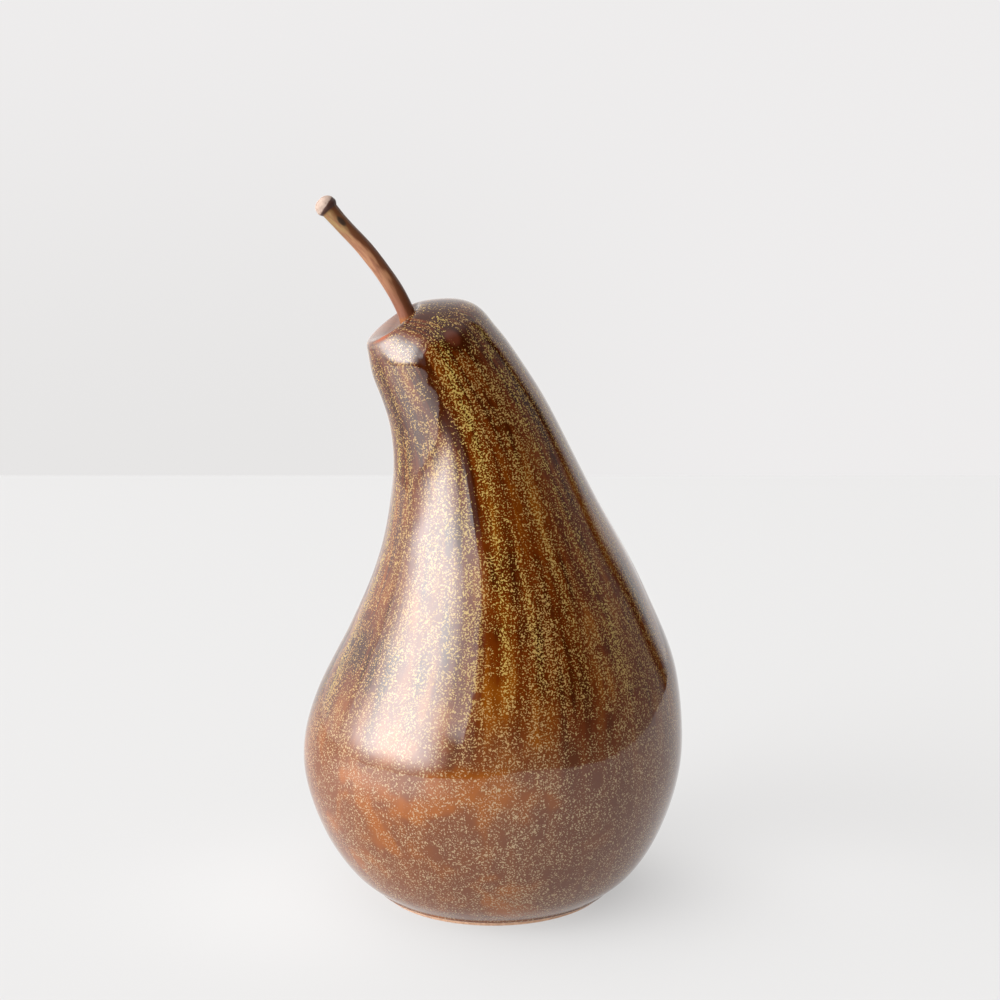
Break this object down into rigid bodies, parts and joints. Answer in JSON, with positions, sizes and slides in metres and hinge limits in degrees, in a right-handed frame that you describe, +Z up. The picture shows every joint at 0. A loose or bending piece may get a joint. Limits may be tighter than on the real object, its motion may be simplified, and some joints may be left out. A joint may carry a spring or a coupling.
{
  "type": "glazed ceramic pear ornament",
  "caption": "Hollow glazed stoneware pear ornament with a nodding neck, a small bare foot ring and a dried pear stalk set in its crown.",
  "frame": {"origin": "centre of the foot ring on the table", "axes": "+Z up from the table through the body, -X the side the neck and the stalk lean towards, -Y the front"},
  "size_m": [0.1041, 0.104, 0.1911],
  "materials": {
    "tea_dust_glaze": "high gloss brown reactive glaze with golden flecks",
    "dried_stalk": "dry satin bark"
  },
  "bodies": {
    "root": {"pear_body": "tea_dust_glaze", "pear_stem": "dried_stalk"}
  },
  "joints": []
}
